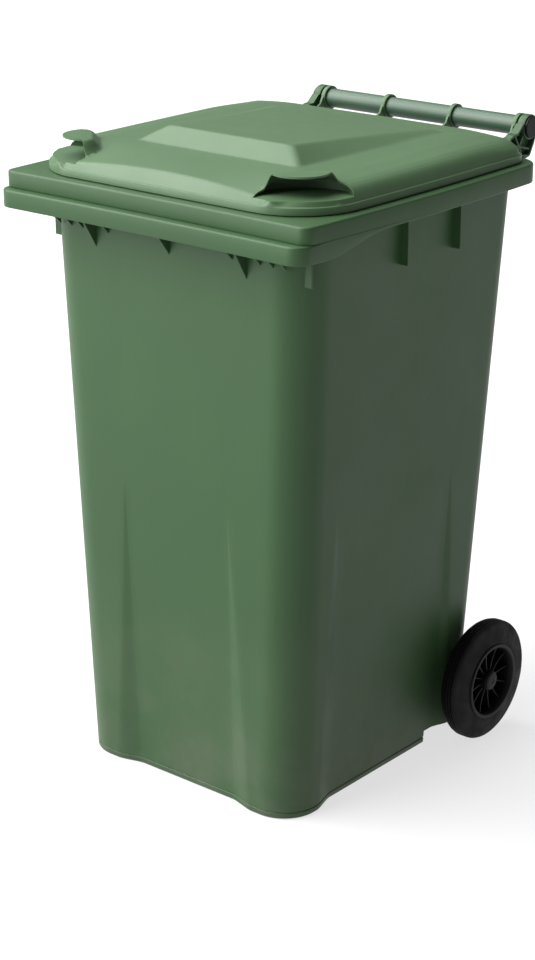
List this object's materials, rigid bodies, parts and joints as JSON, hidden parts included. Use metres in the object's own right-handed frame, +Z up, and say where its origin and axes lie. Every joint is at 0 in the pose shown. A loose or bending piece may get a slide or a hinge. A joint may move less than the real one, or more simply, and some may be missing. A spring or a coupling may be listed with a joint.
{
  "type": "two-wheeled litter bin",
  "caption": "Green two-wheeled litter bin with a hinged lid, a lifting comb under the front rim, a rear handle tube and rubber-tyred wheels.",
  "frame": {"origin": "on the ground, under the centre of the closed bin's bounding box", "axes": "+Z up; the front with the comb faces -Y, the handle and the wheels are towards +Y; +X is the bin's right as seen from the front, along the axle"},
  "size_m": [0.597, 0.6921, 1.014],
  "materials": {
    "bin_plastic": "satin moulded polyethylene, dark green",
    "lid_plastic": "semi-gloss moulded polyethylene, green",
    "handle_plastic": "glossy plastic tube, dark green",
    "black_plastic": "matt black moulded plastic",
    "tyre_rubber": "matt black rubber",
    "axle_steel": "zinc-plated steel"
  },
  "bodies": {
    "container": {"container": "bin_plastic", "handle_tube": "handle_plastic", "right_handle_plug": "black_plastic", "left_handle_plug": "black_plastic", "axle": "axle_steel", "right_axle_washer": "black_plastic", "left_axle_washer": "black_plastic"},
    "lid": {"lid": "lid_plastic"},
    "right_wheel": {"right_wheel_rim": "black_plastic", "right_tyre": "tyre_rubber", "right_hub_cap": "black_plastic", "right_latch_spring": "axle_steel"},
    "left_wheel": {"left_wheel_rim": "black_plastic", "left_tyre": "tyre_rubber", "left_hub_cap": "black_plastic", "left_latch_spring": "axle_steel"},
    "right_latch": {"right_latch_plunger": "axle_steel"},
    "left_latch": {"left_latch_plunger": "axle_steel"}
  },
  "joints": [
    {"name": "lid_hinge", "type": "hinge", "parent": "container", "child": "lid", "pos_m": [0, 0.326, 0.9795], "axis": [-1, 0, 0], "range_deg": [0, 270]},
    {"name": "right_wheel_spin", "type": "hinge", "parent": "container", "child": "right_wheel", "pos_m": [0.25, 0.176, 0.1], "axis": [1, 0, 0], "continuous": true},
    {"name": "left_wheel_spin", "type": "hinge", "parent": "container", "child": "left_wheel", "pos_m": [-0.25, 0.176, 0.1], "axis": [1, 0, 0], "continuous": true},
    {"name": "right_latch_slide", "type": "slide", "parent": "right_wheel", "child": "right_latch", "axis": [0, 0, 1], "range_m": [0, 0.002], "stiffness_N_per_m": 500, "deforming": ["right_latch_spring"]},
    {"name": "left_latch_slide", "type": "slide", "parent": "left_wheel", "child": "left_latch", "axis": [0, 0, 1], "range_m": [0, 0.002], "stiffness_N_per_m": 500, "deforming": ["left_latch_spring"]}
  ]
}
